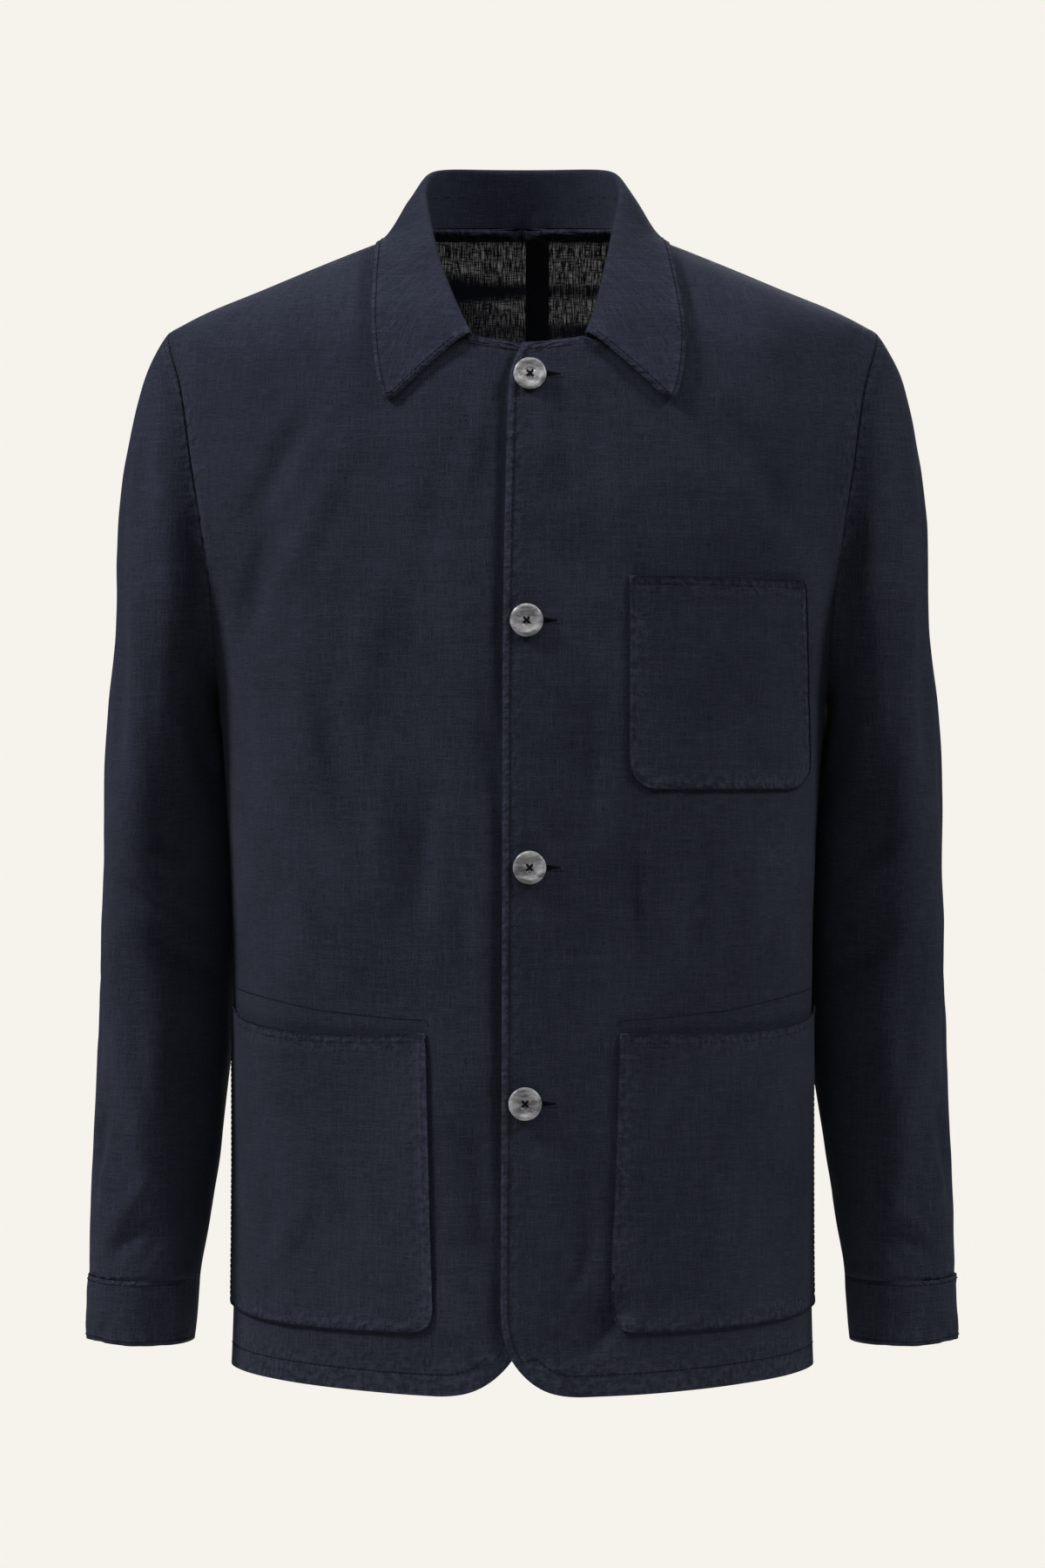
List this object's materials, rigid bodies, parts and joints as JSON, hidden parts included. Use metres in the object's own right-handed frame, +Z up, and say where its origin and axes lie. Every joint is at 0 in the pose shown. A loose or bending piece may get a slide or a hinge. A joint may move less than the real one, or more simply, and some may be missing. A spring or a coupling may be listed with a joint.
{
  "type": "work jacket",
  "caption": "Unlined linen work jacket with a shirt collar, a buttoned front, long cuffed sleeves, a chest pocket and two wide lower pockets, held in its worn form.",
  "frame": {"origin": "midway between the two points where the shoulder seams meet the collar, where the wearer's shoulders hold the jacket up", "axes": "+Z up, -Y out of the jacket's front, +X towards the wearer's left"},
  "size_m": [0.5542, 0.2677, 0.7799],
  "materials": {
    "linen": "matt slubby linen, navy",
    "binding": "matt woven tape, near black",
    "horn": "polished grey horn look, marbled"
  },
  "bodies": {
    "root": {"front_left": "linen", "front_right": "linen", "back_left": "linen", "back_right": "linen", "sleeve_left": "linen", "sleeve_right": "linen", "cuff_left": "linen", "cuff_right": "linen", "collar_band": "linen", "collar_leaf": "linen", "chest_pocket": "linen", "pocket_left": "linen", "pocket_right": "linen", "back_binding": "binding", "button_1": "horn", "button_2": "horn", "button_3": "horn", "button_4": "horn"}
  },
  "joints": []
}
